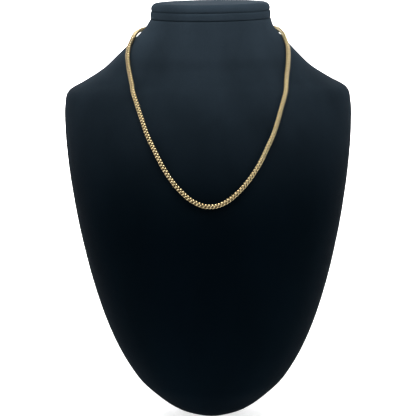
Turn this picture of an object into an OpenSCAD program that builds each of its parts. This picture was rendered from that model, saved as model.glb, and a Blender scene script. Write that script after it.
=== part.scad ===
/* [Bust] */
// Height of the bust, from the floor to the middle of the seam round its neck
bust_h = 295; // [258:1:336]
// Width of the bust across its shoulders
bust_w = 219; // [190:1:250]
// Depth of the chest in front of the widest line of its fullest section
chest_d = 94; // [78:1:110]
// Depth of the back behind the widest line
back_d = 16; // [12:1:24]
// How far the shoulders stand behind the bottom edge
bust_lean = 51; // [38:1:62]

/* [Neck] */
// Width of the neck at the seam
neck_w = 89; // [79:1:99]
// Depth of the neck at that seam, front to back
neck_d = 85; // [74:1:94]
// Angle by which the top of the neck tips forward, in degrees
neck_tip = 1.5; // [0:0.25:6]
// How far the top of the neck stands to one side
neck_side = 2.9; // [0:0.1:4]
// Height of the band over the seam
band_h = 6; // [4:0.5:9]
// Thickness of the disc that closes the neck, on top of the band
disc_t = 6; // [4.5:0.5:9]
// Radius of the disc's rounded top edge
disc_edge = 4.5; // [1.5:0.25:5]
// Depth of the groove between the band and the disc
groove_d = 0.9; // [0.4:0.1:1.4]

/* [Chain] */
// Width of the chain across its flats
chain_w = 3; // [2:0.1:4.5]
// Width of the chain across its corners
chain_corner_w = 3.95; // [2.6:0.05:6]
// Length of the clasp between the two ends of the chain
clasp_len = 21; // [19:0.5:26]
// Width of the sleeves that hold the ends of the chain
sleeve_w = 3.8; // [3:0.1:5.5]
// Length of each sleeve
sleeve_len = 3.4; // [2.5:0.1:4]
// Width of the clasp's body
clasp_w = 5.6; // [5:0.1:8]
// Thickness of the clasp's body
clasp_t = 2.4; // [1.8:0.1:3.5]
// Thickness of the wire in the clasp's rings
ring_wire = 1.1; // [0.8:0.05:1.4]

/* [Rear prop] */
// Width of the leg and of the foot behind the bust
prop_w = 72; // [50:1:80]
// Thickness of the prop's boards
board_t = 4; // [3:0.5:6]
// Height at which the leg's pad ends on the back
pad_top = 176; // [150:1:190]
// Height of the pad that lies on the back
pad_h = 34; // [24:1:44]
// How far the foot's rear edge stands behind the bottom edge of the bust
foot_back = 100; // [85:1:115]
// Width of the foot's front end, close behind the bust
foot_tip_w = 38; // [26:1:48]

/* [Fit] */
// Gap between pieces that meet
seat_gap = 0.3; // [0.2:0.05:0.5]

/* [Hidden] */

// Sections of the bust from its bottom edge up to the seam under the cap.
// height, width, lean, front and back are shares of bust_h, half of bust_w,
// bust_lean, chest_d and back_d. neck says how far a section has turned from the
// torso's sizes to the neck's. tip is its share of neck_tip, and the square of tip
// its share of neck_side. front_round and back_round are the powers of its
// outline: 2 is an ellipse, 4 nearly a box.
// Columns: height, width, lean, front, back, neck, front_round, back_round, tip
SECTIONS = [
    [0.000, 0.110, 0.06, 0.19, 0.20, 0.00, 2.0, 2.2, 0.0],
    [0.008, 0.175, 0.07, 0.27, 0.28, 0.00, 2.0, 2.5, 0.0],
    [0.025, 0.285, 0.08, 0.40, 0.40, 0.00, 2.0, 2.8, 0.0],
    [0.056, 0.400, 0.10, 0.52, 0.55, 0.00, 2.0, 3.2, 0.0],
    [0.101, 0.520, 0.14, 0.65, 0.75, 0.00, 2.1, 3.6, 0.0],
    [0.192, 0.665, 0.22, 0.81, 0.95, 0.00, 2.1, 4.0, 0.0],
    [0.313, 0.790, 0.35, 0.93, 1.00, 0.00, 2.1, 4.0, 0.0],
    [0.455, 0.890, 0.50, 1.00, 1.00, 0.00, 2.1, 4.0, 0.0],
    [0.576, 0.952, 0.64, 1.01, 1.00, 0.00, 2.1, 4.0, 0.0],
    [0.667, 0.985, 0.76, 0.97, 1.00, 0.00, 2.1, 4.0, 0.0],
    [0.737, 0.999, 0.85, 0.89, 1.00, 0.00, 2.1, 4.0, 0.0],
    [0.783, 0.998, 0.92, 0.82, 1.00, 0.00, 2.1, 4.0, 0.0],
    [0.818, 0.990, 0.97, 0.77, 0.90, 0.03, 2.1, 3.8, 0.0],
    [0.843, 1.000, 0.99, 0.79, 0.65, 0.24, 2.1, 3.4, 0.1],
    [0.874, 1.000, 0.96, 0.81, 0.45, 0.46, 2.1, 3.0, 0.2],
    [0.909, 1.000, 0.87, 0.78, 0.35, 0.63, 2.1, 2.6, 0.4],
    [0.942, 1.000, 0.78, 0.70, 0.30, 0.78, 2.0, 2.3, 0.6],
    [0.975, 1.000, 0.71, 0.66, 0.30, 0.93, 2.0, 2.1, 0.8],
    [1.000, 1.000, 0.67, 0.64, 0.30, 0.99, 2.0, 2.0, 1.0]
];
HEIGHT = 0;
WIDTH = 1;
LEAN = 2;
FRONT = 3;
BACK = 4;
NECK = 5;
FRONT_ROUND = 6;
BACK_ROUND = 7;
TIP = 8;

// Half of the chain's route, from the middle of the neck's back, past one side
// of the neck and down to the lowest point on the chest. The other half mirrors
// it. height is a share of bust_h, around is the angle round the section with 0
// at the side and 90 at the front, turn is the chain's own twist in degrees, and
// lift is how far it stands off the bust, as a share of chain_w. The loop hangs a
// little to one side, by sway degrees on both halves, and the other half has its
// own twist, far_turn. Its four faces are alike, so a turn of 90 is as good as 0.
// Columns: height, around, turn, lift, sway, far_turn
ROUTE = [
    [0.981, -90.0, 90, 0.28, 0.00, 0],
    [0.980, -74.0, 90, 0.16, 0.00, 0],
    [0.977, -57.0, 90, 0.00, 0.00, 0],
    [0.972, -40.0, 90, 0.00, 0.00, 4],
    [0.967, -24.0, 90, 0.00, 0.00, 10],
    [0.963, -9.0, 88, 0.00, 0.00, 17],
    [0.957, 4.0, 86, 0.00, 0.00, 22],
    [0.947, 15.0, 84, 0.00, 0.00, 25],
    [0.926, 25.5, 81, 0.00, 0.00, 27],
    [0.901, 36.5, 74, 0.00, 0.20, 18],
    [0.875, 45.3, 61, 0.22, 0.50, 10],
    [0.854, 52.0, 45, 0.25, 0.60, 8],
    [0.834, 57.3, 32, 0.28, 0.70, 9],
    [0.815, 61.0, 24, 0.10, 0.80, 10],
    [0.791, 63.1, 21, 0.00, 0.80, 12],
    [0.763, 65.0, 19, 0.00, 0.85, 13],
    [0.730, 67.1, 18, 0.00, 0.85, 15],
    [0.696, 69.9, 16, 0.00, 0.80, 14],
    [0.657, 73.3, 16, 0.00, 0.70, 15],
    [0.619, 77.6, 15, 0.00, 0.50, 13],
    [0.588, 82.7, 12, 0.00, 0.40, 12],
    [0.573, 87.0, 12, 0.00, 0.35, 12],
    [0.570, 90.0, 12, 0.00, 0.35, 12]
];
AROUND = 1;
TURN = 2;
CHAIN_LIFT = 3;
SWAY = 4;
FAR_TURN = 5;

bust_sides = 60;
rings_per_section = 2;
cap_arc_steps = 4;
chain_rings = 80;
route_samples = 300;

// Catmull-Rom slope of a table's row, per unit of its key or of its row number
function row_key(table, i, keyed) = keyed ? table[i][HEIGHT] : i;
function row_slope(table, i, keyed) =
    let (low = max(i - 1, 0), high = min(i + 1, len(table) - 1))
    (table[high] - table[low]) / (row_key(table, high, keyed) - row_key(table, low, keyed));

// Row of a table between rows i and i + 1, at the share t of the way
function blend_rows(table, i, t, keyed) =
    let (span = row_key(table, i + 1, keyed) - row_key(table, i, keyed))
    (2 * t ^ 3 - 3 * t ^ 2 + 1) * table[i]
    + (t ^ 3 - 2 * t ^ 2 + t) * span * row_slope(table, i, keyed)
    + (3 * t ^ 2 - 2 * t ^ 3) * table[i + 1]
    + (t ^ 3 - t ^ 2) * span * row_slope(table, i + 1, keyed);

function row_below(h, i = 0) =
    (i >= len(SECTIONS) - 2 || h < SECTIONS[i + 1][HEIGHT]) ? i : row_below(h, i + 1);
function section_at(h) =
    let (i = row_below(h), low = SECTIONS[i][HEIGHT], high = SECTIONS[i + 1][HEIGHT])
    blend_rows(SECTIONS, i, (h - low) / (high - low), true);

// Real sizes of a section
function half_width(s) = (1 - s[NECK]) * s[WIDTH] * bust_w / 2 + s[NECK] * neck_w / 2;
function front_depth(s) = (1 - s[NECK]) * s[FRONT] * chest_d + s[NECK] * neck_d / 2;
function back_depth(s) = (1 - s[NECK]) * s[BACK] * back_d + s[NECK] * neck_d / 2;
function widest_y(s) = s[LEAN] * bust_lean;
function rounded(v, power) = sign(v) * pow(abs(v), 2 / power);

// Point of a section's outline, drawn in by inset and raised square to the section
function section_point(s, around, inset = 0, raise = 0) =
    let (
        at_front = sin(around) >= 0,
        power = at_front ? s[FRONT_ROUND] : s[BACK_ROUND],
        depth = (at_front ? front_depth(s) : back_depth(s)) - inset,
        x = s[TIP] ^ 2 * neck_side + (half_width(s) - inset) * rounded(cos(around), power),
        back = -depth * rounded(sin(around), power),
        tip = s[TIP] * neck_tip
    )
    [x, widest_y(s) + back - raise * sin(tip), s[HEIGHT] * bust_h + back * tan(tip) + raise * cos(tip)];

function bust_point(h, around) = section_point(section_at(h), around);
function unit(v) = v / norm(v);
function bust_normal(h, around) =
    let (step = 0.002, low = max(h - step, 0), high = min(h + step, 1))
    unit(cross(
        bust_point(high, around) - bust_point(low, around),
        bust_point(h, around + 0.5) - bust_point(h, around - 0.5)
    ));

// Closed solid through rings of points, each ring turning the same way, low to high
module loft(rings) {
    sides = len(rings[0]);
    last = len(rings) - 1;
    points = [for (ring = rings) each ring];
    walls = [
        for (i = [0 : last - 1], j = [0 : sides - 1])
            let (k = (j + 1) % sides)
            each [
                [i * sides + j, (i + 1) * sides + j, (i + 1) * sides + k],
                [i * sides + j, (i + 1) * sides + k, i * sides + k]
            ]
    ];
    bottom = [for (j = [0 : sides - 1]) j];
    top = [for (j = [sides - 1 : -1 : 0]) last * sides + j];
    polyhedron(points, concat([bottom], walls, [top]), convexity = 8);
}

function outline(s, inset = 0, raise = 0) =
    [for (j = [0 : bust_sides - 1]) section_point(s, -360 * j / bust_sides, inset, raise)];

// Sections that the bust is lofted through, from its bottom edge up to the seam
bust_rings = [
    for (i = [0 : len(SECTIONS) - 2], k = [0 : rings_per_section - 1])
        let (low = SECTIONS[i][HEIGHT], high = SECTIONS[i + 1][HEIGHT])
        section_at(low + (high - low) * k / rings_per_section),
    section_at(1)
];

// The whole part is centred front to back over its own base
chest_front = min([for (s = bust_rings) widest_y(s) - front_depth(s)]);
centre_y = (chest_front + foot_back) / 2;
module centred() {
    translate([0, -centre_y, 0]) children();
}

module bust_form() {
    color([0.03, 0.04, 0.05])
        centred()
            loft([for (s = bust_rings) outline(s)]);
}

// A band over the seam, a groove and a disc with a rounded edge, in one piece
module neck_cap() {
    seam = section_at(1);
    top = band_h + disc_t;
    side = [
        [groove_d / 2, seat_gap],
        [0, 2 * groove_d],
        [0, band_h - 2 * groove_d],
        [groove_d / 2, band_h - groove_d / 2],
        [groove_d, band_h],
        [groove_d / 2, band_h + groove_d]
    ];
    edge = [
        for (k = [0 : cap_arc_steps])
            let (a = 90 * k / cap_arc_steps)
            [groove_d / 2 + disc_edge * (1 - cos(a)), top - disc_edge * (1 - sin(a))]
    ];
    color([0.16, 0.19, 0.23])
        centred()
            loft([for (e = concat(side, edge)) outline(seam, e[0], e[1])]);
}

// Back of the bust on its middle line, at a height in millimetres
function back_line(z) = bust_point(z / bust_h, -90)[1];
pad_steps = 6;
foot_top = board_t;
leg_bottom = foot_top + seat_gap;
leg_rear = foot_back - board_t;

module prop_leg() {
    pad_face = [
        for (k = [0 : pad_steps])
            let (z = pad_top - pad_h * k / pad_steps)
            [back_line(z) + seat_gap, z]
    ];
    profile = concat(pad_face, [
        [pad_face[pad_steps][0] + board_t, pad_top - pad_h - board_t],
        [leg_rear - board_t, leg_bottom],
        [leg_rear, leg_bottom],
        [pad_face[0][0] + 2 * board_t, pad_top - board_t],
        [pad_face[0][0] + board_t, pad_top]
    ]);
    color([0.05, 0.05, 0.06])
        centred()
            rotate([90, 0, 90])
                linear_extrude(prop_w, center = true)
                    polygon(profile);
}

// The foot is a tongue that widens from the bust back to the leg
module prop_foot() {
    corner_r = 2 * board_t;
    front = back_line(foot_top) + board_t;
    side = prop_w / 2;
    tip = foot_tip_w / 2;
    color([0.05, 0.05, 0.06])
        centred()
            linear_extrude(foot_top)
                union() {
                    polygon([
                        [-tip, front],
                        [tip, front],
                        [side, (front + foot_back) / 2],
                        [side, foot_back - corner_r],
                        [side - corner_r, foot_back],
                        [corner_r - side, foot_back],
                        [-side, foot_back - corner_r],
                        [-side, (front + foot_back) / 2]
                    ]);
                    for (x = [corner_r - side, side - corner_r])
                        translate([x, foot_back - corner_r])
                            circle(corner_r, $fn = 48);
                }
}

// How far the chain's outline reaches towards the bust when turned
function chain_reach(turn) =
    min(chain_corner_w / 2, chain_w / 2 * (abs(cos(turn)) + abs(sin(turn))));

// The whole loop of stations: the half route, then its mirror image
full_route = [
    for (r = ROUTE)
        [r[HEIGHT], r[AROUND] - r[SWAY], r[TURN], r[CHAIN_LIFT]],
    for (i = [len(ROUTE) - 2 : -1 : 0])
        let (r = ROUTE[i])
        [r[HEIGHT], 180 - r[AROUND] - r[SWAY], r[FAR_TURN], r[CHAIN_LIFT]]
];
function route_row(share) =
    let (
        place = share * (len(full_route) - 1),
        i = min(floor(place), len(full_route) - 2)
    )
    blend_rows(full_route, i, place - i, false);
function route_point(share) =
    let (
        r = route_row(share),
        off = chain_reach(r[TURN]) + seat_gap + r[CHAIN_LIFT] * chain_w
    )
    bust_point(r[HEIGHT], r[AROUND]) + off * bust_normal(r[HEIGHT], r[AROUND]);

// Length along the route, and the share of the route at a length
route_path = [for (i = [0 : route_samples]) route_point(i / route_samples)];
route_lengths = [
    for (i = 0, s = 0; i <= route_samples;
         s = i < route_samples ? s + norm(route_path[i + 1] - route_path[i]) : s, i = i + 1)
        s
];
route_len = route_lengths[route_samples];
route_table = [for (i = [0 : route_samples]) [route_lengths[i], i / route_samples]];
function share_at(length) = lookup(length, route_table);

// Outline of the chain: a square with its corners cut off
corner_cut = chain_corner_w / sqrt(2) - chain_w / 2;
chain_outline = [
    for (quarter = [0 : 3], side = [-1, 1])
        let (a = 90 * quarter, u = chain_w / 2, v = side * corner_cut)
        [u * cos(a) - v * sin(a), u * sin(a) + v * cos(a)]
];

module chain() {
    start = clasp_len / 2 + seat_gap;
    step = (route_len - 2 * start) / (chain_rings - 1);
    rings = [
        for (k = [0 : chain_rings - 1])
            let (
                share = share_at(start + step * k),
                r = route_row(share),
                middle = route_point(share),
                along = unit(route_point(share + 0.001) - route_point(share - 0.001)),
                across = unit(cross(along, bust_normal(r[HEIGHT], r[AROUND]))),
                out = cross(across, along),
                c = cos(r[TURN]),
                s = sin(r[TURN])
            )
            [
                for (p = chain_outline)
                    middle + out * (c * p[0] - s * p[1]) + across * (s * p[0] + c * p[1])
            ]
    ];
    color([0.86, 0.66, 0.32])
        centred()
            loft(rings);
}

// One plain clasp that joins the two ends of the chain behind the neck: a ring
// of metal with a wire ring on each side, and a sleeve on each end of the chain
module clasp() {
    centre = [bust_point(ROUTE[0][HEIGHT], ROUTE[0][AROUND])[0], 0, 0];
    hook = route_point(share_at(clasp_len / 2 - sleeve_len)) - centre;
    end = route_point(share_at(clasp_len / 2)) - centre;
    tilt = atan2(end[1] - hook[1], end[0] - hook[0]);
    ring_r = (hook[0] - clasp_w / 2 + ring_wire) / 2;
    ring_x = (hook[0] + clasp_w / 2) / 2;
    color([0.86, 0.66, 0.32])
        centred()
            translate(centre)
                union() {
                    for (side = [0, 1])
                        mirror([side, 0, 0]) {
                            translate((hook + end) / 2)
                                rotate([0, 0, tilt])
                                    cube([sleeve_len, sleeve_w, sleeve_w], center = true);
                            translate([ring_x, hook[1], hook[2]])
                                rotate([90, 0, 0])
                                    rotate_extrude($fn = 48)
                                        translate([ring_r - ring_wire / 2, 0])
                                            circle(ring_wire / 2, $fn = 24);
                        }
                    translate([0, hook[1], hook[2]])
                        rotate([90, 0, 0])
                            difference() {
                                cylinder(h = clasp_t, r = clasp_w / 2, center = true, $fn = 48);
                                cylinder(h = 2 * clasp_t, r = clasp_w / 4, center = true, $fn = 32);
                            }
                }
}

bust_form();
neck_cap();
prop_leg();
prop_foot();
chain();
clasp();
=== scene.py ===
"""Franco chain on a plain velvet neck bust: velvet form, neck cap, woven chain, clasp and easel leg."""

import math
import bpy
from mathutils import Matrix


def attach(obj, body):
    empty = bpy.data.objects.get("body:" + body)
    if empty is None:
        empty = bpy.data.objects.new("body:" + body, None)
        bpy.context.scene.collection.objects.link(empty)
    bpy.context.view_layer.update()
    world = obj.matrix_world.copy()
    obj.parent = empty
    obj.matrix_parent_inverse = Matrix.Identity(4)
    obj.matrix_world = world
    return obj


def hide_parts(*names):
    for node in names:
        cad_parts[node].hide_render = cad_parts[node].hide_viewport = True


bl_info = {
    "name": "Franco chain on a neck bust",
    "version": (1, 0, 0),
    "blender": (4, 5, 0),
    "location": "3D View > Sidebar > Neck Bust",
    "description": "Builds a woven franco chain and the velvet neck bust that carries it",
    "category": "Object",
}

import bmesh
import bpy
from bpy.props import FloatProperty, FloatVectorProperty, IntProperty, PointerProperty
from mathutils import Vector

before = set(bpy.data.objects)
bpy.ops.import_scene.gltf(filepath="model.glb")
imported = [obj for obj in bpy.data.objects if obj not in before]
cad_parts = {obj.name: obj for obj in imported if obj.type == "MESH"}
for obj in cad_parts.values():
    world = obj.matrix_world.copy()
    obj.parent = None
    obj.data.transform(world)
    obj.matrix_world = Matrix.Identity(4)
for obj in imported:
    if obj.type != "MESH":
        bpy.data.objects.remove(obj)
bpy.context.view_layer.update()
MM = 0.001

# Sections of the bust, from its bottom edge up to the seam round its neck. height,
# width, lean, front and back are shares of the bust's sizes, neck says how far a
# section has turned from the torso's sizes to the neck's, front_round and back_round
# are the powers of its outline. tip is its share of the neck's tip, and the square of
# tip its share of how far the neck stands to one side.
# Columns: height, width, lean, front, back, neck, front_round, back_round, tip
SECTIONS = (
    (0.000, 0.110, 0.06, 0.19, 0.20, 0.00, 2.0, 2.2, 0.0),
    (0.008, 0.175, 0.07, 0.27, 0.28, 0.00, 2.0, 2.5, 0.0),
    (0.025, 0.285, 0.08, 0.40, 0.40, 0.00, 2.0, 2.8, 0.0),
    (0.056, 0.400, 0.10, 0.52, 0.55, 0.00, 2.0, 3.2, 0.0),
    (0.101, 0.520, 0.14, 0.65, 0.75, 0.00, 2.1, 3.6, 0.0),
    (0.192, 0.665, 0.22, 0.81, 0.95, 0.00, 2.1, 4.0, 0.0),
    (0.313, 0.790, 0.35, 0.93, 1.00, 0.00, 2.1, 4.0, 0.0),
    (0.455, 0.890, 0.50, 1.00, 1.00, 0.00, 2.1, 4.0, 0.0),
    (0.576, 0.952, 0.64, 1.01, 1.00, 0.00, 2.1, 4.0, 0.0),
    (0.667, 0.985, 0.76, 0.97, 1.00, 0.00, 2.1, 4.0, 0.0),
    (0.737, 0.999, 0.85, 0.89, 1.00, 0.00, 2.1, 4.0, 0.0),
    (0.783, 0.998, 0.92, 0.82, 1.00, 0.00, 2.1, 4.0, 0.0),
    (0.818, 0.990, 0.97, 0.77, 0.90, 0.03, 2.1, 3.8, 0.0),
    (0.843, 1.000, 0.99, 0.79, 0.65, 0.24, 2.1, 3.4, 0.1),
    (0.874, 1.000, 0.96, 0.81, 0.45, 0.46, 2.1, 3.0, 0.2),
    (0.909, 1.000, 0.87, 0.78, 0.35, 0.63, 2.1, 2.6, 0.4),
    (0.942, 1.000, 0.78, 0.70, 0.30, 0.78, 2.0, 2.3, 0.6),
    (0.975, 1.000, 0.71, 0.66, 0.30, 0.93, 2.0, 2.1, 0.8),
    (1.000, 1.000, 0.67, 0.64, 0.30, 0.99, 2.0, 2.0, 1.0),
)
HEIGHT, WIDTH, LEAN, FRONT, BACK, NECK, FRONT_ROUND, BACK_ROUND, TIP = range(9)

# Half of the chain's route, from the middle of the neck's back to the lowest point
# on the chest. The other half mirrors it. height is a share of the bust's height,
# around is the angle round the section with 0 at the side and 90 at the front, turn
# is the chain's own twist in degrees, and lift is how far it stands off the bust.
# The loop hangs to one side by sway degrees, and the other half twists by far_turn.
# Columns: height, around, turn, lift, sway, far_turn
ROUTE = (
    (0.981, -90.0, 90, 0.28, 0.00, 0),
    (0.980, -74.0, 90, 0.16, 0.00, 0),
    (0.977, -57.0, 90, 0.00, 0.00, 0),
    (0.972, -40.0, 90, 0.00, 0.00, 4),
    (0.967, -24.0, 90, 0.00, 0.00, 10),
    (0.963, -9.0, 88, 0.00, 0.00, 17),
    (0.957, 4.0, 86, 0.00, 0.00, 22),
    (0.947, 15.0, 84, 0.00, 0.00, 25),
    (0.926, 25.5, 81, 0.00, 0.00, 27),
    (0.901, 36.5, 74, 0.00, 0.20, 18),
    (0.875, 45.3, 61, 0.22, 0.50, 10),
    (0.854, 52.0, 45, 0.25, 0.60, 8),
    (0.834, 57.3, 32, 0.28, 0.70, 9),
    (0.815, 61.0, 24, 0.10, 0.80, 10),
    (0.791, 63.1, 21, 0.00, 0.80, 12),
    (0.763, 65.0, 19, 0.00, 0.85, 13),
    (0.730, 67.1, 18, 0.00, 0.85, 15),
    (0.696, 69.9, 16, 0.00, 0.80, 14),
    (0.657, 73.3, 16, 0.00, 0.70, 15),
    (0.619, 77.6, 15, 0.00, 0.50, 13),
    (0.588, 82.7, 12, 0.00, 0.40, 12),
    (0.573, 87.0, 12, 0.00, 0.35, 12),
    (0.570, 90.0, 12, 0.00, 0.35, 12),
)
AROUND, TURN, CHAIN_LIFT, SWAY, FAR_TURN = 1, 2, 3, 4, 5
FULL_ROUTE = tuple(
    (row[HEIGHT], row[AROUND] - row[SWAY], row[TURN], row[CHAIN_LIFT])
    for row in ROUTE
) + tuple(
    (row[HEIGHT], 180 - row[AROUND] - row[SWAY], row[FAR_TURN], row[CHAIN_LIFT])
    for row in ROUTE[-2::-1]
)

# A quarter of one link's bent wire, in millimetres, from the waist where it crosses
# inside the chain, up through the groove of a face, to the tip that loops round one
# corner. out is towards that corner, side is square to it, rise is along the chain,
# and the last two are the wire's width and thickness there. The other three quarters
# mirror it.
# Columns: out, side, rise, wire_width, wire_thickness
LINK_QUARTER = (
    (0.36, -0.38, -1.15, 0.64, 0.50),
    (0.68, -0.82, -0.15, 0.68, 0.58),
    (0.98, -0.76, 0.50, 0.80, 0.74),
    (1.62, -0.26, 1.20, 0.92, 0.80),
)
# Half of the wire's width, drawn a little full because the wire has few sides
WIRE_FULL = 0.55
# Painted shade: a link's wire is painted darker the further it is below the link's tips, where it dives
# under the next link, as if shade fell there. This painted shade grows from DIVE_START above the link's
# middle, over DIVE_LENGTH, to the last value here, a share of the chain's half width.
DIVE_START = 0.0010
DIVE_LENGTH = 0.0012
DIVE_PAINTED_SHADE = 0.38

# Steps for slopes: a share of the bust's height, degrees round a section, a share of
# the route
NEAR_HEIGHT = 0.002
NEAR_ANGLE = 0.5
NEAR_SHARE = 0.001
# Points closer than this are merged
MERGE_DISTANCE = 1e-6

BUST_MIDDLE = (0, 0, 0.18)
# Columns: name, place, point lit, width and height, watts
LAMPS = (
    ("Top softbox", (0, -0.35, 1.3), BUST_MIDDLE, (1.3, 0.9), 16),
    ("Left softbox", (-1.15, -0.55, 0.65), BUST_MIDDLE, (0.7, 1.0), 4.5),
    ("Right softbox", (1.2, -0.45, 0.6), BUST_MIDDLE, (0.6, 1.0), 5.5),
    ("Backdrop light", (0, 1.2, 1.6), (0, 2.2, 0.6), (2.2, 0.6), 90),
)


def blend_rows(table, i, t, keyed):
    """Row of a table between rows i and i + 1, at the share t of the way, on a smooth curve."""
    def key(row):
        return table[row][HEIGHT] if keyed else row

    def slope(row, column):
        low = max(row - 1, 0)
        high = min(row + 1, len(table) - 1)
        return (table[high][column] - table[low][column]) / (key(high) - key(low))

    span = key(i + 1) - key(i)
    return [
        (2 * t**3 - 3 * t**2 + 1) * table[i][column]
        + (t**3 - 2 * t**2 + t) * span * slope(i, column)
        + (3 * t**2 - 2 * t**3) * table[i + 1][column]
        + (t**3 - t**2) * span * slope(i + 1, column)
        for column in range(len(table[0]))
    ]


def section_at(height):
    """Section of the bust at a share of its height."""
    i = 0
    while i < len(SECTIONS) - 2 and height >= SECTIONS[i + 1][HEIGHT]:
        i += 1
    low = SECTIONS[i][HEIGHT]
    high = SECTIONS[i + 1][HEIGHT]
    return blend_rows(SECTIONS, i, (height - low) / (high - low), True)


def rounded(value, power):
    """Cosine or sine of a rounded outline, which is fuller the higher its power."""
    return math.copysign(abs(value) ** (2 / power), value)


def section_point(bust, section, around, inset=0.0, rise=0.0):
    """Point of a section's outline, drawn in by inset and raised square to the section."""
    cos = math.cos(math.radians(around))
    sin = math.sin(math.radians(around))
    neck = section[NECK]
    at_front = sin >= 0
    power = section[FRONT_ROUND] if at_front else section[BACK_ROUND]
    half_width = (1 - neck) * section[WIDTH] * bust.width / 2 + neck * bust.neck_width / 2
    reach = section[FRONT] * bust.chest_depth if at_front else section[BACK] * bust.back_depth
    depth = (1 - neck) * reach + neck * bust.neck_depth / 2 - inset
    back = -depth * rounded(sin, power)
    tip = section[TIP] * bust.neck_tip
    return Vector((
        section[TIP] ** 2 * bust.neck_side + (half_width - inset) * rounded(cos, power),
        section[LEAN] * bust.lean + back - rise * math.sin(tip) - bust.centre_y,
        section[HEIGHT] * bust.height + back * math.tan(tip) + rise * math.cos(tip),
    ))


def bust_point(bust, height, around):
    """Point on the bust at a share of its height and an angle round it."""
    return section_point(bust, section_at(height), around)


def bust_normal(bust, height, around):
    """Direction straight out of the bust at a point on it."""
    low = max(height - NEAR_HEIGHT, 0)
    high = min(height + NEAR_HEIGHT, 1)
    up = bust_point(bust, high, around) - bust_point(bust, low, around)
    along = bust_point(bust, height, around + NEAR_ANGLE) - bust_point(bust, height, around - NEAR_ANGLE)
    return up.cross(along).normalized()


def route_row(share):
    """Row of the whole route at a share of its rows, on a smooth curve."""
    place = min(max(share, 0.0), 1.0) * (len(FULL_ROUTE) - 1)
    i = min(int(place), len(FULL_ROUTE) - 2)
    return blend_rows(FULL_ROUTE, i, place - i, False)


def route_point(bust, chain, share):
    """Middle of the chain at a share of its route, standing off the bust by its own reach."""
    row = route_row(share)
    turn = math.radians(row[TURN])
    reach = min(chain.corner_width / 2, chain.width / 2 * (abs(math.cos(turn)) + abs(math.sin(turn))))
    off = reach + chain.seat_gap + row[CHAIN_LIFT] * chain.width
    normal = bust_normal(bust, row[HEIGHT], row[AROUND])
    return bust_point(bust, row[HEIGHT], row[AROUND]) + off * normal


class Route:
    """The chain's route as evenly spaced stations, each with its middle and three directions."""

    def __init__(self, bust, chain, samples=300, stations=1500):
        shares = [i / samples for i in range(samples + 1)]
        points = [route_point(bust, chain, share) for share in shares]
        lengths = [0.0]
        for a, b in zip(points, points[1:]):
            lengths.append(lengths[-1] + (b - a).length)
        self.length = lengths[-1]
        self.step = self.length / stations
        self.stations = []
        k = 0
        for n in range(stations + 1):
            length = n * self.step
            while k < samples - 1 and lengths[k + 1] < length:
                k += 1
            share = shares[k] + (length - lengths[k]) / (lengths[k + 1] - lengths[k]) / samples
            self.stations.append(self.frame(bust, chain, min(share, 1.0)))

    @staticmethod
    def frame(bust, chain, share):
        """Middle of the chain and its two directions across, at a share of the route."""
        row = route_row(share)
        ahead = route_point(bust, chain, min(share + NEAR_SHARE, 1.0))
        behind = route_point(bust, chain, max(share - NEAR_SHARE, 0.0))
        along = (ahead - behind).normalized()
        across = along.cross(bust_normal(bust, row[HEIGHT], row[AROUND])).normalized()
        out = across.cross(along)
        cos = math.cos(math.radians(row[TURN]))
        sin = math.sin(math.radians(row[TURN]))
        return route_point(bust, chain, share), out * cos + across * sin, across * cos - out * sin

    def at(self, length):
        """Middle and the directions out and across, at a length along the route."""
        place = min(max(length / self.step, 0.0), len(self.stations) - 1.001)
        i = int(place)
        t = place - i
        return [a.lerp(b, t) for a, b in zip(self.stations[i], self.stations[i + 1])]


def deselect():
    """Leaves edit mode and deselects everything, the nodes of the frame too."""
    if bpy.context.object and bpy.context.object.mode != "OBJECT":
        bpy.ops.object.mode_set(mode="OBJECT")
    bpy.ops.object.select_all(action="DESELECT")


def edit_all():
    """Opens the active object in edit mode with all of it selected."""
    bpy.ops.object.mode_set(mode="EDIT")
    bpy.ops.mesh.select_all(action="SELECT")


def close_and_face_out():
    """Merges doubles, fills open ends and turns every face outwards."""
    edit_all()
    bpy.ops.mesh.remove_doubles(threshold=MERGE_DISTANCE)
    bpy.ops.mesh.fill_holes(sides=0)
    bpy.ops.mesh.select_all(action="SELECT")
    bpy.ops.mesh.normals_make_consistent(inside=False)
    bpy.ops.object.mode_set(mode="OBJECT")


def wrap_rings(rings):
    """Closed surface through rings of points, shaped from a grid whose two side edges meet."""
    sides = len(rings[0])
    deselect()
    bpy.ops.mesh.primitive_grid_add(x_subdivisions=sides, y_subdivisions=len(rings) - 1, size=1)
    obj = bpy.context.object
    for vertex in obj.data.vertices:
        row, column = divmod(vertex.index, sides + 1)
        vertex.co = rings[row][column % sides]
    obj.matrix_world.identity()
    close_and_face_out()
    return obj


def board(outline, depth, axis):
    """Flat board from the outline of one side, given as points, extruded along an axis."""
    deselect()
    bpy.ops.mesh.primitive_circle_add(vertices=len(outline), fill_type="NGON")
    obj = bpy.context.object
    for vertex, point in zip(obj.data.vertices, outline):
        vertex.co = point
    obj.matrix_world.identity()
    edit_all()
    bpy.ops.mesh.extrude_region_move(TRANSFORM_OT_translate={"value": [depth * a for a in axis]})
    bpy.ops.mesh.select_all(action="SELECT")
    bpy.ops.mesh.normals_make_consistent(inside=False)
    bpy.ops.object.mode_set(mode="OBJECT")
    return obj


def soften(obj, width, segments=3, angle=30):
    """Rounds an object's edges with an applied bevel."""
    deselect()
    obj.select_set(True)
    bpy.context.view_layer.objects.active = obj
    bevel = obj.modifiers.new("Rounded edges", "BEVEL")
    bevel.width = width
    bevel.segments = segments
    bevel.limit_method = "ANGLE"
    bevel.angle_limit = math.radians(angle)
    bpy.ops.object.modifier_apply(modifier=bevel.name)


def shade(obj, angle=40):
    """Shades an object smooth, except across edges sharper than an angle."""
    deselect()
    obj.select_set(True)
    bpy.context.view_layer.objects.active = obj
    bpy.ops.object.shade_smooth_by_angle(angle=math.radians(angle))


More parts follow.
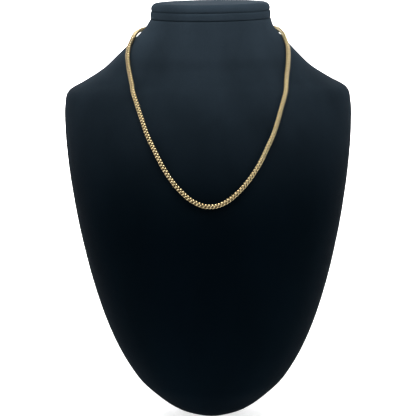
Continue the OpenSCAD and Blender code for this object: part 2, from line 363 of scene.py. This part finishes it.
def hand_over(obj, name, material, slot, *nodes):
    """Names a finished piece, gives it its material and sets it in the frame."""
    obj.name = name
    obj.data.name = name
    obj.data.materials.clear()
    obj.data.materials.append(material)
    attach(obj, "root")
    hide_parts(*nodes)


class Nodes:
    """Short way to add and join the nodes of one material."""

    def __init__(self, name):
        self.material = bpy.data.materials.new(name)
        self.material.use_nodes = True
        self.tree = self.material.node_tree
        self.shader = self.tree.nodes["Principled BSDF"]
        self.place = self.add("ShaderNodeTexCoord").outputs["Object"]

    def add(self, kind, settings=None, **values):
        made = self.tree.nodes.new(kind)
        for key, value in (settings or {}).items():
            setattr(made, key, value)
        for key, value in values.items():
            socket = made.inputs[key.replace("_", " ")]
            if isinstance(value, bpy.types.NodeSocket):
                self.tree.links.new(value, socket)
            else:
                socket.default_value = value
        return made

    def stretched(self, scale):
        """The object's coordinates, scaled by a different factor on each axis."""
        return self.add("ShaderNodeMapping", Vector=self.place, Scale=scale).outputs[0]

    def noise(self, scale, detail, vector=None):
        source = self.place if vector is None else vector
        return self.add("ShaderNodeTexNoise", Vector=source, Scale=scale, Detail=detail).outputs["Fac"]

    def span(self, value, low, high, to_low=0.0, to_high=1.0):
        """A value between low and high, moved to between to_low and to_high and held there."""
        made = self.add("ShaderNodeMapRange", Value=value)
        for key, number in zip(("From Min", "From Max", "To Min", "To Max"), (low, high, to_low, to_high)):
            made.inputs[key].default_value = number
        return made.outputs["Result"]

    def maths(self, operation, a, b):
        made = self.add("ShaderNodeMath", {"operation": operation})
        for socket, value in zip(made.inputs, (a, b)):
            if isinstance(value, bpy.types.NodeSocket):
                self.tree.links.new(value, socket)
            else:
                socket.default_value = value
        return made.outputs[0]

    def mix(self, factor, a, b, mode="MIX"):
        made = self.tree.nodes.new("ShaderNodeMix")
        made.data_type = "RGBA"
        made.blend_type = mode
        for socket, value in ((made.inputs[0], factor), (made.inputs[6], a), (made.inputs[7], b)):
            if isinstance(value, bpy.types.NodeSocket):
                self.tree.links.new(value, socket)
            else:
                socket.default_value = value
        return made.outputs[2]

    def bump(self, height, distance, strength=1.0, under=None):
        made = self.add("ShaderNodeBump", Height=height, Distance=distance, Strength=strength)
        if under is not None:
            self.tree.links.new(under, made.inputs["Normal"])
        return made.outputs["Normal"]

    def finish(self, **values):
        """Sets or joins the shader's sockets and returns the material."""
        for key, value in values.items():
            socket = self.shader.inputs[key.replace("_", " ")]
            if isinstance(value, bpy.types.NodeSocket):
                self.tree.links.new(value, socket)
            else:
                socket.default_value = value
        return self.material


def velvet(name, colours, low=0.13, high=0.30):
    """Short dark pile, brushed unevenly, with painted light that makes it lighter towards the top and front
    of the neck.

    Painted light makes it grow lighter between the heights low and high, and less so behind the slanted
    plane that parts the bust's front from its back.
    """
    # Shape of the painted light: its slanted plane, its fade, its share at the back and the power of its
    # rise
    slant = 0.19
    fade = 0.008
    painted_light_at_back = 0.35
    rise_power = 2.3
    pressed = (0.0, 0.001, 0.0015, 1)
    nodes = Nodes(name)
    axis = nodes.add("ShaderNodeSeparateXYZ", Vector=nodes.place)
    # Painted light: the colour grows lighter towards the top of the neck, where more light falls, and less
    # so at the back
    behind = nodes.maths("SUBTRACT", axis.outputs["Y"], nodes.maths("MULTIPLY", axis.outputs["Z"], slant))
    lift = nodes.maths("POWER", nodes.span(axis.outputs["Z"], low, high), rise_power)
    lift = nodes.maths("MULTIPLY", lift, nodes.span(behind, -fade, fade, 1.0, painted_light_at_back))
    brushed = nodes.span(nodes.noise(26.0, 4.0, nodes.stretched((1.0, 1.0, 0.4))), 0.35, 0.65)
    pile = nodes.noise(4500.0, 2.0)
    colour = nodes.mix(lift, (*colours.velvet_dark, 1), (*colours.velvet_painted_light, 1))
    shadow = nodes.mix(nodes.span(brushed, 0.0, 1.0, 0.0, 0.3), colour, pressed)
    fibres = nodes.mix(1.0, shadow, nodes.span(pile, 0.3, 0.7, 0.75, 1.3), "MULTIPLY")
    under = nodes.bump(brushed, 0.0006, 0.25)
    return nodes.finish(
        Base_Color=fibres,
        Roughness=nodes.span(pile, 0.3, 0.7, 0.82, 1.0),
        Normal=nodes.bump(pile, 0.0003, 0.35, under),
        Sheen_Weight=colours.sheen,
        Sheen_Roughness=0.42,
        Sheen_Tint=(0.62, 0.78, 0.95, 1),
        Specular_IOR_Level=0.01,
    )


def polished_gold(name, colours, least_painted_shade=0.0):
    """Pale yellow gold with a fine polish, duller in the depths of the weave, where painted shade also
    darkens its colour.

    The last argument is the least share of that painted shade and dullness, on its outside too.
    """
    dullest = 0.3
    nodes = Nodes(name)
    # Painted shade in the weave, read from the links' attribute
    depth = nodes.add("ShaderNodeAttribute", {"attribute_name": "painted_shade_in_weave"}).outputs["Fac"]
    handled = nodes.noise(420.0, 3.0)
    polish = nodes.noise(1400.0, 2.0, nodes.stretched((1.0, 1.0, 0.2)))
    tone = nodes.mix(nodes.span(handled, 0.35, 0.65), (*colours.gold, 1), (*colours.gold_warm, 1))
    # Painted shade: the gold turns to its painted-shade colour where the wire lies deep in the weave
    colour = nodes.mix(nodes.span(depth, 0.06, 0.34, least_painted_shade), tone, (*colours.gold_painted_shade, 1))
    dull = nodes.span(depth, 0.0, 0.8, dullest * least_painted_shade, dullest)
    polished = nodes.span(handled, 0.3, 0.7, 0.14, 0.23)
    return nodes.finish(
        Base_Color=colour,
        Metallic=1.0,
        Roughness=nodes.maths("ADD", polished, dull),
        Normal=nodes.bump(polish, 0.00001, 0.2),
    )


def covered_board(name, colours):
    """Black grained covering paper on board, rubbed a little lighter in places."""
    nodes = Nodes(name)
    grain = nodes.add("ShaderNodeTexVoronoi", Vector=nodes.place, Scale=1500.0).outputs["Distance"]
    rubbed = nodes.span(nodes.noise(160.0, 6.0), 0.52, 0.85)
    colour = nodes.mix(rubbed, (*colours.board, 1), (*colours.board_rubbed, 1))
    return nodes.finish(
        Base_Color=colour,
        Roughness=nodes.span(rubbed, 0.0, 1.0, 0.72, 0.5),
        Normal=nodes.bump(grain, 0.00012, 0.5),
        Specular_IOR_Level=0.35,
    )


def studio_paper(name, colours):
    """Pale graduated studio paper, greyer towards the front, with painted light that makes it glow more
    towards the back.
    """
    front_end = -0.42
    back_start = -0.12
    painted_glow = 0.7
    nodes = Nodes(name)
    fibre = nodes.noise(900.0, 3.0)
    axis = nodes.add("ShaderNodeSeparateXYZ", Vector=nodes.place)
    back = nodes.span(axis.outputs["Y"], front_end, back_start)
    tone = nodes.mix(back, (*colours.paper_front, 1), (*colours.paper, 1))
    nodes.material.cycles.emission_sampling = "NONE"
    return nodes.finish(
        Base_Color=tone,
        Roughness=0.85,
        Normal=nodes.bump(fibre, 0.0001, 0.1),
        # Painted light: the paper glows, more towards the back
        Emission_Color=(1, 1, 1, 1),
        Emission_Strength=nodes.span(back, 0.0, 1.0, 0.0, painted_glow),
    )


def length_prop(name, description, default, high=2.0):
    """A length in metres."""
    return FloatProperty(
        name=name, description=description, default=default, min=0.0001, max=high,
        unit="LENGTH", subtype="DISTANCE", precision=4,
    )


def angle_prop(name, description, degrees):
    """An angle, given in degrees."""
    return FloatProperty(name=name, description=description, default=math.radians(degrees), subtype="ANGLE")


def colour_prop(name, description, default):
    """A colour as linear red, green and blue."""
    return FloatVectorProperty(
        name=name, description=description, default=default, size=3, min=0.0, max=1.0, subtype="COLOR",
    )


class BustSizes(bpy.types.PropertyGroup):
    height: length_prop("Height", "From the floor to the seam round the neck", 0.295)
    width: length_prop("Width", "Across the shoulders", 0.219)
    chest_depth: length_prop("Chest depth", "Depth of the chest before the widest line", 0.094)
    back_depth: length_prop("Back depth", "Depth of the back behind the widest line", 0.016)
    lean: length_prop("Lean", "How far the shoulders stand behind the bottom edge", 0.051)
    neck_width: length_prop("Neck width", "Width of the neck at the seam", 0.089)
    neck_depth: length_prop("Neck depth", "Depth of the neck at the seam", 0.085)
    neck_tip: angle_prop("Neck tip", "Angle by which the top of the neck tips forward", 1.5)
    neck_side: length_prop("Neck side", "How far the top of the neck stands to one side", 0.0029)
    centre_y: length_prop("Centre", "How far the part is moved to stand centred", 0.01512)
    band_height: length_prop("Band height", "Height of the band over the seam", 0.006)
    disc_thickness: length_prop("Disc thickness", "Thickness of the disc on the band", 0.006)
    disc_edge: length_prop("Disc edge", "Radius of the disc's rounded top edge", 0.0045)
    groove: length_prop("Groove", "Depth of the groove between band and disc", 0.0009)
    sides: IntProperty(name="Sides", description="Points round each section", default=168, min=24, max=400)
    rows: IntProperty(name="Rows", description="Rows between two sections", default=8, min=2, max=16)


class ChainSizes(bpy.types.PropertyGroup):
    width: length_prop("Width", "Across the chain's flats", 0.003)
    corner_width: length_prop("Corner width", "Across the chain's corners", 0.00395)
    seat_gap: length_prop("Seat gap", "Gap between the chain and the bust", 0.0003)
    pitch: length_prop("Pitch", "Distance from one link to the next", 0.0012)
    link_half: length_prop("Half link", "Half the length of one link", 0.0020)
    wire_sides: IntProperty(name="Wire sides", description="Sides of a link's wire", default=6, min=5, max=6)
    clasp_length: length_prop("Clasp length", "Length between the chain's two ends", 0.021)
    sleeve_length: length_prop("Sleeve length", "Length of the sleeve on each end", 0.0034)
    sleeve_width: length_prop("Sleeve width", "Width of the sleeve on each end", 0.0038)
    clasp_width: length_prop("Clasp width", "Width of the clasp's ring", 0.0056)
    clasp_thickness: length_prop("Clasp thickness", "Thickness of the clasp's ring", 0.0024)
    ring_wire: length_prop("Ring wire", "Thickness of the small rings' wire", 0.0011)


class PropSizes(bpy.types.PropertyGroup):
    width: length_prop("Width", "Width of the leg and the foot", 0.072)
    board: length_prop("Board", "Thickness of the boards", 0.004)
    pad_top: length_prop("Pad top", "Height at which the leg's pad ends", 0.176)
    pad_height: length_prop("Pad height", "Height of the pad on the back", 0.034)
    foot_back: length_prop("Foot", "How far the foot stands behind the bust", 0.1)
    foot_tip: length_prop("Foot tip", "Width of the foot's front end", 0.038)
    gap: length_prop("Gap", "Gap between boards that meet", 0.0003)


class Colours(bpy.types.PropertyGroup):
    # Painted light: the velvet is painted lighter at the neck, where more light falls, and darker on the
    # chest
    velvet_dark: colour_prop("Velvet, dark", "Velvet on the chest", (0.0007, 0.0028, 0.0050))
    velvet_painted_light: colour_prop("Velvet, light", "Velvet at the neck", (0.038, 0.056, 0.074))
    sheen: FloatProperty(
        name="Sheen", description="How much light the pile catches", default=0.008, min=0, max=1,
    )
    gold: colour_prop("Gold", "The gold's polished outside", (0.96, 0.80, 0.47))
    gold_warm: colour_prop("Gold, warm", "The gold where it is handled", (0.90, 0.72, 0.38))
    # Painted shade: the gold's colour where shade is painted down in the weave
    gold_painted_shade: colour_prop("Gold, deep", "The gold down in the weave", (0.13, 0.072, 0.028))
    board: colour_prop("Board", "Covering paper of the boards", (0.008, 0.009, 0.010))
    board_rubbed: colour_prop("Board, rubbed", "Covering paper where it is rubbed", (0.016, 0.017, 0.019))
    paper: colour_prop("Paper", "Studio paper", (0.93, 0.93, 0.94))
    paper_front: colour_prop("Paper, front", "Studio paper in front of the bust", (0.50, 0.50, 0.51))


class StageSizes(bpy.types.PropertyGroup):
    distance: length_prop("Distance", "From the camera to the bust", 1.043, high=5.0)
    elevation: angle_prop("Elevation", "Angle of the camera above the floor", 10)
    roll: angle_prop("Roll", "Tilt of the camera", -0.8)
    lens: FloatProperty(
        name="Lens", description="Focal length in millimetres", default=119.0, min=20, max=300,
    )
    shift: FloatProperty(name="Shift", description="Sideways shift of the frame", default=-0.0034)
    target_y: length_prop("Target depth", "Depth of the point looked at", 0.00488)
    target_z: length_prop("Target height", "Height of the point looked at", 0.1529)


class NECKBUST_OT_form(bpy.types.Operator):
    """Builds the velvet-covered torso and neck"""

    bl_idname = "neckbust.form"
    bl_label = "Velvet form"

    def execute(self, context):
        bust = context.scene.neckbust_bust
        rings = []
        for low, high in zip(SECTIONS, SECTIONS[1:]):
            for k in range(bust.rows):
                height = low[HEIGHT] + (high[HEIGHT] - low[HEIGHT]) * k / bust.rows
                rings.append(section_at(height))
        rings.append(section_at(1))
        turns = [360 * j / bust.sides for j in range(bust.sides)]
        points = [[section_point(bust, ring, turn) for turn in turns] for ring in rings]
        obj = wrap_rings(points)
        soften(obj, width=0.0008, angle=50)
        shade(obj, angle=45)
        pile = velvet("Black velvet", context.scene.neckbust_colours)
        hand_over(obj, "velvet_form", pile, "black_velvet", "bust_form")
        return {"FINISHED"}


class NECKBUST_OT_cap(bpy.types.Operator):
    """Builds the band and the disc that close the neck"""

    bl_idname = "neckbust.cap"
    bl_label = "Neck cap"

    def execute(self, context):
        bust = context.scene.neckbust_bust
        gap = context.scene.neckbust_chain.seat_gap
        seam = section_at(1)
        groove = bust.groove
        band = bust.band_height
        top = band + bust.disc_thickness
        underside = [(4 * groove, gap), (1.4 * groove, gap), (0.7 * groove, gap)]
        band_side = [
            (0.35 * groove, 0.6 * groove),
            (0.08 * groove, 1.1 * groove),
            (0, 2 * groove),
            (0, 0.5 * band),
            (0, band - 2 * groove),
            (0.12 * groove, band - 1.1 * groove),
            (0.4 * groove, band - 0.45 * groove),
            (0.85 * groove, band - 0.15 * groove),
        ]
        groove_side = [
            (1.25 * groove, band),
            (1.0 * groove, band + 0.35 * groove),
            (0.68 * groove, band + 0.75 * groove),
            (0.5 * groove, band + 1.3 * groove),
        ]
        steps = 10
        edge = []
        for k in range(steps + 1):
            turn = math.radians(90 * k / steps)
            inset = groove / 2 + bust.disc_edge * (1 - math.cos(turn))
            edge.append((inset, top - bust.disc_edge * (1 - math.sin(turn))))
        flat = groove / 2 + bust.disc_edge
        crown_shares = (0.1, 0.3, 0.5, 0.7, 0.86, 0.97)
        crown = [(flat + share * (bust.neck_depth / 2 - flat), top) for share in crown_shares]
        turns = [360 * j / bust.sides for j in range(bust.sides)]
        points = [
            [section_point(bust, seam, turn, inset, rise) for turn in turns]
            for inset, rise in underside + band_side + groove_side + edge + crown
        ]
        obj = wrap_rings(points)
        shade(obj, angle=50)
        # Painted light on the cap: its velvet grows lighter up to a little above the form's top
        pile = velvet("Cap velvet", context.scene.neckbust_colours, high=0.312)
        hand_over(obj, "neck_cap_velvet", pile, "black_velvet", "neck_cap")
        return {"FINISHED"}


def model_link(chain):
    """One link: a torus whose ring follows the bent wire and whose wire is flattened to the faces."""
    quarter = [row[:3] for row in LINK_QUARTER]
    half = quarter + [(out, -side, rise) for out, side, rise in quarter[::-1]]
    loop = [Vector(point) for point in half + [(-out, -side, rise) for out, side, rise in half]]
    wires = [row[3:] for row in LINK_QUARTER]
    wires = (wires + wires[::-1]) * 2
    count = len(loop)
    flat = chain.width / 2 / MM
    corner = chain.corner_width / 2 / MM
    eighth_turn = math.sqrt(0.5)
    deselect()
    bpy.ops.mesh.primitive_torus_add(major_segments=count, minor_segments=chain.wire_sides)
    link = bpy.context.object
    for i in range(count):
        ahead = (loop[(i + 1) % count] - loop[i]).normalized()
        behind = (loop[i] - loop[i - 1]).normalized()
        along = (ahead + behind).normalized()
        out = Vector((loop[i].x, loop[i].y, 0))
        out = (out - along * out.dot(along)).normalized()
        side = along.cross(out)
        width, thickness = wires[i]
        for k in range(chain.wire_sides):
            turn = 2 * math.pi * (k + 0.5) / chain.wire_sides
            outward = out * math.cos(turn) * thickness * WIRE_FULL
            sideways = side * math.sin(turn) * width * WIRE_FULL
            point = loop[i] + outward + sideways
            point.x = max(-corner, min(corner, point.x))
            point.y = max(-corner, min(corner, point.y))
            x = (point.x - point.y) * eighth_turn
            y = (point.x + point.y) * eighth_turn
            point.x = max(-flat, min(flat, x))
            point.y = max(-flat, min(flat, y))
            link.data.vertices[i * chain.wire_sides + k].co = point * MM
    edit_all()
    bpy.ops.mesh.normals_make_consistent(inside=False)
    bpy.ops.object.mode_set(mode="OBJECT")
    return link


class NECKBUST_OT_chain(bpy.types.Operator):
    """Weaves the franco chain from one link, copied along the route, every other one turned"""

    bl_idname = "neckbust.chain"
    bl_label = "Franco chain"

    def execute(self, context):
        bust = context.scene.neckbust_bust
        chain = context.scene.neckbust_chain
        route = Route(bust, chain)
        link = model_link(chain)
        start = chain.clasp_length / 2 + chain.seat_gap + chain.link_half
        count = int((route.length - 2 * start) / chain.pitch) + 1
        pitch = (route.length - 2 * start) / (count - 1)
        woven = bmesh.new()
        # Painted shade, kept on each point of the links
        depth = woven.verts.layers.float.new("painted_shade_in_weave")
        for n in range(count):
            turned = n % 2 == 1
            made = []
            for vertex in link.data.vertices:
                out, side, along = vertex.co
                if turned:
                    out, side = -side, out
                middle, to_out, to_side = route.at(start + n * pitch + along)
                point = woven.verts.new(middle + to_out * out + to_side * side)
                # Painted shade in the weave: darker the nearer the wire lies to the chain's middle, and
                # where it dives under the next link
                dive = min(max((DIVE_START - along) / DIVE_LENGTH, 0.0), 1.0)
                point[depth] = max(1 - max(abs(out), abs(side)) / (chain.width / 2), DIVE_PAINTED_SHADE * dive)
                made.append(point)
            for face in link.data.polygons:
                woven.faces.new([made[i] for i in face.vertices]).smooth = True
        mesh = bpy.data.meshes.new("franco_chain")
        bmesh.ops.recalc_face_normals(woven, faces=woven.faces)
        woven.to_mesh(mesh)
        woven.free()
        bpy.data.objects.remove(link)
        obj = bpy.data.objects.new("franco_chain", mesh)
        context.scene.collection.objects.link(obj)
        gold = polished_gold("Polished gold", context.scene.neckbust_colours)
        hand_over(obj, "franco_chain", gold, "gold", "chain")
        return {"FINISHED"}


class NECKBUST_OT_clasp(bpy.types.Operator):
    """Builds the plain ring clasp with its sleeves behind the neck"""

    bl_idname = "neckbust.clasp"
    bl_label = "Clasp"

    def execute(self, context):
        bust = context.scene.neckbust_bust
        chain = context.scene.neckbust_chain
        route = Route(bust, chain)
        centre = bust_point(bust, ROUTE[0][HEIGHT], ROUTE[0][AROUND]).x
        hook = route.at(chain.clasp_length / 2 - chain.sleeve_length)[0] - Vector((centre, 0, 0))
        end = route.at(chain.clasp_length / 2)[0] - Vector((centre, 0, 0))
        tilt = math.atan2(end.y - hook.y, end.x - hook.x)
        wire = chain.ring_wire / 2
        ring_r = (hook.x - chain.clasp_width / 2 + chain.ring_wire) / 2
        ring_x = (hook.x + chain.clasp_width / 2) / 2
        body_r = chain.clasp_width * 3 / 8
        deselect()
        bpy.ops.mesh.primitive_torus_add(
            major_segments=64, minor_segments=20, major_radius=body_r, minor_radius=chain.clasp_width / 8,
            location=(centre, hook.y, hook.z), rotation=(math.radians(90), 0, 0),
        )
        body = bpy.context.object
        body.scale = (1, 1, chain.clasp_thickness / (chain.clasp_width / 4))
        parts = [body]
        for side in (-1, 1):
            bpy.ops.mesh.primitive_torus_add(
                major_segments=48, minor_segments=14, major_radius=ring_r - wire, minor_radius=wire,
                location=(centre + side * ring_x, hook.y, hook.z), rotation=(math.radians(90), 0, 0),
            )
            parts.append(bpy.context.object)
            bpy.ops.mesh.primitive_cube_add(
                size=1,
                location=(centre + side * (hook.x + end.x) / 2, (hook.y + end.y) / 2, (hook.z + end.z) / 2),
                rotation=(0, 0, side * tilt),
                scale=(chain.sleeve_length, chain.sleeve_width, chain.sleeve_width),
            )
            sleeve = bpy.context.object
            bpy.ops.object.transform_apply(location=False, rotation=False, scale=True)
            soften(sleeve, width=0.0005, segments=4)
            parts.append(sleeve)
        deselect()
        for part in parts:
            part.select_set(True)
        bpy.context.view_layer.objects.active = body
        bpy.ops.object.transform_apply(location=True, rotation=True, scale=True)
        bpy.ops.object.join()
        shade(body, angle=50)
        # Painted shade: the clasp's gold is painted half towards its painted-shade colour all over, darker
        # than the chain's
        gold = polished_gold("Clasp gold", context.scene.neckbust_colours, least_painted_shade=0.5)
        hand_over(body, "ring_clasp", gold, "gold", "clasp")
        return {"FINISHED"}


class NECKBUST_OT_prop(bpy.types.Operator):
    """Builds the easel leg and the foot behind the bust"""

    bl_idname = "neckbust.prop"
    bl_label = "Leg and foot"

    def execute(self, context):
        bust = context.scene.neckbust_bust
        prop = context.scene.neckbust_prop
        covering = covered_board("Covered board", context.scene.neckbust_colours)

        def back_line(z):
            return bust_point(bust, z / bust.height, -90).y

        steps = 6
        pad = []
        for k in range(steps + 1):
            z = prop.pad_top - prop.pad_height * k / steps
            pad.append((back_line(z) + prop.gap, z))
        rear = prop.foot_back - prop.board - bust.centre_y
        low = prop.board + prop.gap
        profile = pad + [
            (pad[-1][0] + prop.board, prop.pad_top - prop.pad_height - prop.board),
            (rear - prop.board, low),
            (rear, low),
            (pad[0][0] + 2 * prop.board, prop.pad_top - prop.board),
            (pad[0][0] + prop.board, prop.pad_top),
        ]
        leg = board([(-prop.width / 2, y, z) for y, z in profile], prop.width, (1, 0, 0))
        soften(leg, width=0.0009)
        shade(leg)
        hand_over(leg, "easel_leg", covering, "prop_board", "prop_leg")

        front = back_line(prop.board) + prop.board
        back = prop.foot_back - bust.centre_y
        corner = 2 * prop.board
        side = prop.width / 2
        tip = prop.foot_tip / 2
        corner_steps = 8
        right = [(tip, front), (side, (front + back) / 2)]
        for k in range(corner_steps + 1):
            turn = math.radians(90 * k / corner_steps)
            right.append((side - corner + corner * math.cos(turn), back - corner + corner * math.sin(turn)))
        outline = right + [(-x, y) for x, y in right[::-1]]
        foot = board([(x, y, 0) for x, y in outline], prop.board, (0, 0, 1))
        soften(foot, width=0.0006)
        shade(foot)
        hand_over(foot, "easel_foot", covering, "prop_board", "prop_foot")
        return {"FINISHED"}


def soft_light(name, place, target, size, power):
    """Adds a rectangular lamp that points at its target."""
    data = bpy.data.lights.new(name, "AREA")
    data.shape = "RECTANGLE"
    data.size, data.size_y = size
    data.energy = power
    obj = bpy.data.objects.new(name, data)
    obj.location = place
    obj.rotation_euler = (Vector(target) - Vector(place)).to_track_quat("-Z", "Y").to_euler()
    bpy.context.scene.collection.objects.link(obj)


class NECKBUST_OT_stage(bpy.types.Operator):
    """Sets the floor, the backdrop, the lights and the camera"""

    bl_idname = "neckbust.stage"
    bl_label = "Stage"

    def execute(self, context):
        self.add_paper(context)
        self.add_surround(context)
        for lamp in LAMPS:
            soft_light(*lamp)
        self.add_camera(context)
        return {"FINISHED"}

    @staticmethod
    def add_paper(context):
        """Floor and backdrop in one sheet of paper, curved where they meet."""
        wall_height = 3.2
        curve_width = 0.9
        deselect()
        bpy.ops.mesh.primitive_plane_add(size=4.0, location=(0, 0.4, 0))
        sweep = bpy.context.object
        bpy.ops.object.mode_set(mode="EDIT")
        bpy.ops.mesh.select_all(action="DESELECT")
        shape = bmesh.from_edit_mesh(sweep.data)
        for edge in shape.edges:
            edge.select = all(vertex.co.y > 0 for vertex in edge.verts)
        bmesh.update_edit_mesh(sweep.data)
        bpy.ops.mesh.extrude_region_move(TRANSFORM_OT_translate={"value": (0, 0, wall_height)})
        bpy.ops.object.mode_set(mode="OBJECT")
        bpy.ops.object.transform_apply(location=True, rotation=True, scale=True)
        soften(sweep, width=curve_width, segments=24, angle=60)
        shade(sweep, angle=60)
        sweep.name = "studio_sweep"
        sweep.data.materials.append(studio_paper("Studio paper", context.scene.neckbust_colours))

    @staticmethod
    def add_surround(context):
        """Dim surround for the light, which the camera sees paler."""
        world = bpy.data.worlds.new("Studio")
        world.use_nodes = True
        tree = world.node_tree
        dim = tree.nodes["Background"]
        dim.inputs["Color"].default_value = (0.95, 0.97, 1.0, 1)
        dim.inputs["Strength"].default_value = 0.08
        pale = tree.nodes.new("ShaderNodeBackground")
        pale.inputs["Color"].default_value = (0.80, 0.81, 0.82, 1)
        seen = tree.nodes.new("ShaderNodeMixShader")
        tree.links.new(tree.nodes.new("ShaderNodeLightPath").outputs["Is Camera Ray"], seen.inputs["Fac"])
        tree.links.new(dim.outputs["Background"], seen.inputs[1])
        tree.links.new(pale.outputs["Background"], seen.inputs[2])
        tree.links.new(seen.outputs["Shader"], tree.nodes["World Output"].inputs["Surface"])
        context.scene.world = world

    @staticmethod
    def add_camera(context):
        """Camera at the height and distance of the stage's sizes."""
        stage = context.scene.neckbust_stage
        data = bpy.data.cameras.new("Camera")
        data.lens = stage.lens
        data.sensor_width = 36
        data.shift_x = stage.shift
        camera = bpy.data.objects.new("Camera", data)
        context.scene.collection.objects.link(camera)
        target = Vector((0, stage.target_y, stage.target_z))
        back = Vector((0, -math.cos(stage.elevation), math.sin(stage.elevation)))
        camera.location = target + back * stage.distance
        camera.rotation_euler = (-back).to_track_quat("-Z", "Y").to_euler()
        camera.rotation_euler.rotate_axis("Z", stage.roll)
        context.scene.camera = camera
        context.scene.view_settings.view_transform = "Standard"


class NECKBUST_PT_sidebar(bpy.types.Panel):
    """Lists the pieces that can be built"""

    bl_label = "Neck Bust"
    bl_idname = "NECKBUST_PT_sidebar"
    bl_space_type = "VIEW_3D"
    bl_region_type = "UI"
    bl_category = "Neck Bust"

    def draw(self, context):
        for operator in OPERATORS:
            self.layout.operator(operator.bl_idname)


OPERATORS = (
    NECKBUST_OT_form,
    NECKBUST_OT_cap,
    NECKBUST_OT_chain,
    NECKBUST_OT_clasp,
    NECKBUST_OT_prop,
    NECKBUST_OT_stage,
)
GROUPS = {
    "neckbust_bust": BustSizes,
    "neckbust_chain": ChainSizes,
    "neckbust_prop": PropSizes,
    "neckbust_colours": Colours,
    "neckbust_stage": StageSizes,
}


def register():
    for group in GROUPS.values():
        bpy.utils.register_class(group)
    for operator in OPERATORS:
        bpy.utils.register_class(operator)
    bpy.utils.register_class(NECKBUST_PT_sidebar)
    for name, group in GROUPS.items():
        setattr(bpy.types.Scene, name, PointerProperty(type=group))


def unregister():
    for name in GROUPS:
        delattr(bpy.types.Scene, name)
    bpy.utils.unregister_class(NECKBUST_PT_sidebar)
    for operator in reversed(OPERATORS):
        bpy.utils.unregister_class(operator)
    for group in reversed(GROUPS.values()):
        bpy.utils.unregister_class(group)


def main():
    """Builds every piece and the stage."""
    register()
    bpy.ops.neckbust.form()
    bpy.ops.neckbust.cap()
    bpy.ops.neckbust.chain()
    bpy.ops.neckbust.clasp()
    bpy.ops.neckbust.prop()
    bpy.ops.neckbust.stage()


if __name__ == "__main__":
    main()
